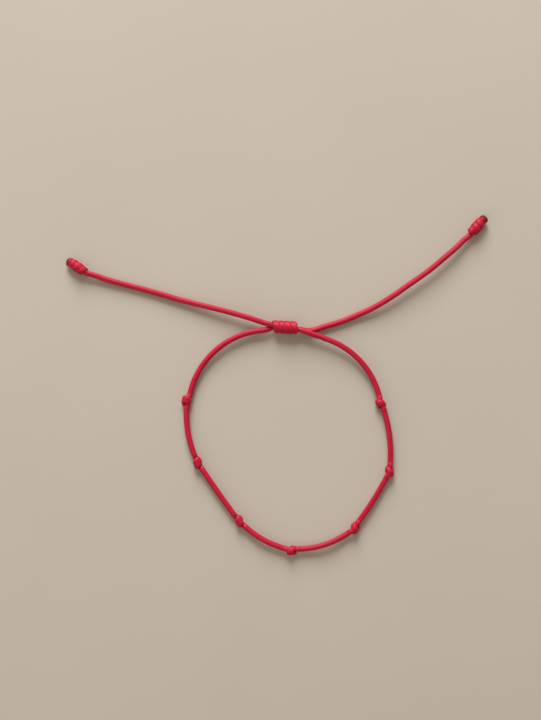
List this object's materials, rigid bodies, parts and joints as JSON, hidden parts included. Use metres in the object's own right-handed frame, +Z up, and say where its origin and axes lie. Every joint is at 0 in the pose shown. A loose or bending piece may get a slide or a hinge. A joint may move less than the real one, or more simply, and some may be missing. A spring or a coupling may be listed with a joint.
{
  "type": "knotted cord bracelet",
  "caption": "Adjustable bracelet of one round satin cord in a loop with evenly spaced small knots, drawn up by a sliding knot, with two free tails that end in stopper knots.",
  "frame": {"origin": "middle of the bracelet's loop in plan, on the surface that it lies on; the two free tails don't count", "axes": "+Z up from the surface, +Y from the loop's low side to the sliding knot, +X across the loop to the side of the shorter tail's steeper run, which is the picture's right"},
  "size_m": [0.1101, 0.088, 0.0034],
  "materials": {
    "satin_cord": "woven satin cord, soft gloss, melted dark at its two ends"
  },
  "bodies": {
    "root": {"loop_cord_1": "satin_cord", "loop_knot_1": "satin_cord", "loop_cord_2": "satin_cord", "loop_knot_2": "satin_cord", "loop_cord_3": "satin_cord", "loop_knot_3": "satin_cord", "loop_cord_4": "satin_cord", "loop_knot_4": "satin_cord", "loop_cord_5": "satin_cord", "loop_knot_5": "satin_cord", "loop_cord_6": "satin_cord", "loop_knot_6": "satin_cord", "loop_cord_7": "satin_cord", "loop_knot_7": "satin_cord", "loop_cord_8": "satin_cord", "sliding_knot": "satin_cord", "crossing_cord_left": "satin_cord", "crossing_cord_right": "satin_cord", "left_tail": "satin_cord", "left_stopper_knot": "satin_cord", "right_tail": "satin_cord", "right_stopper_knot": "satin_cord"}
  },
  "joints": []
}
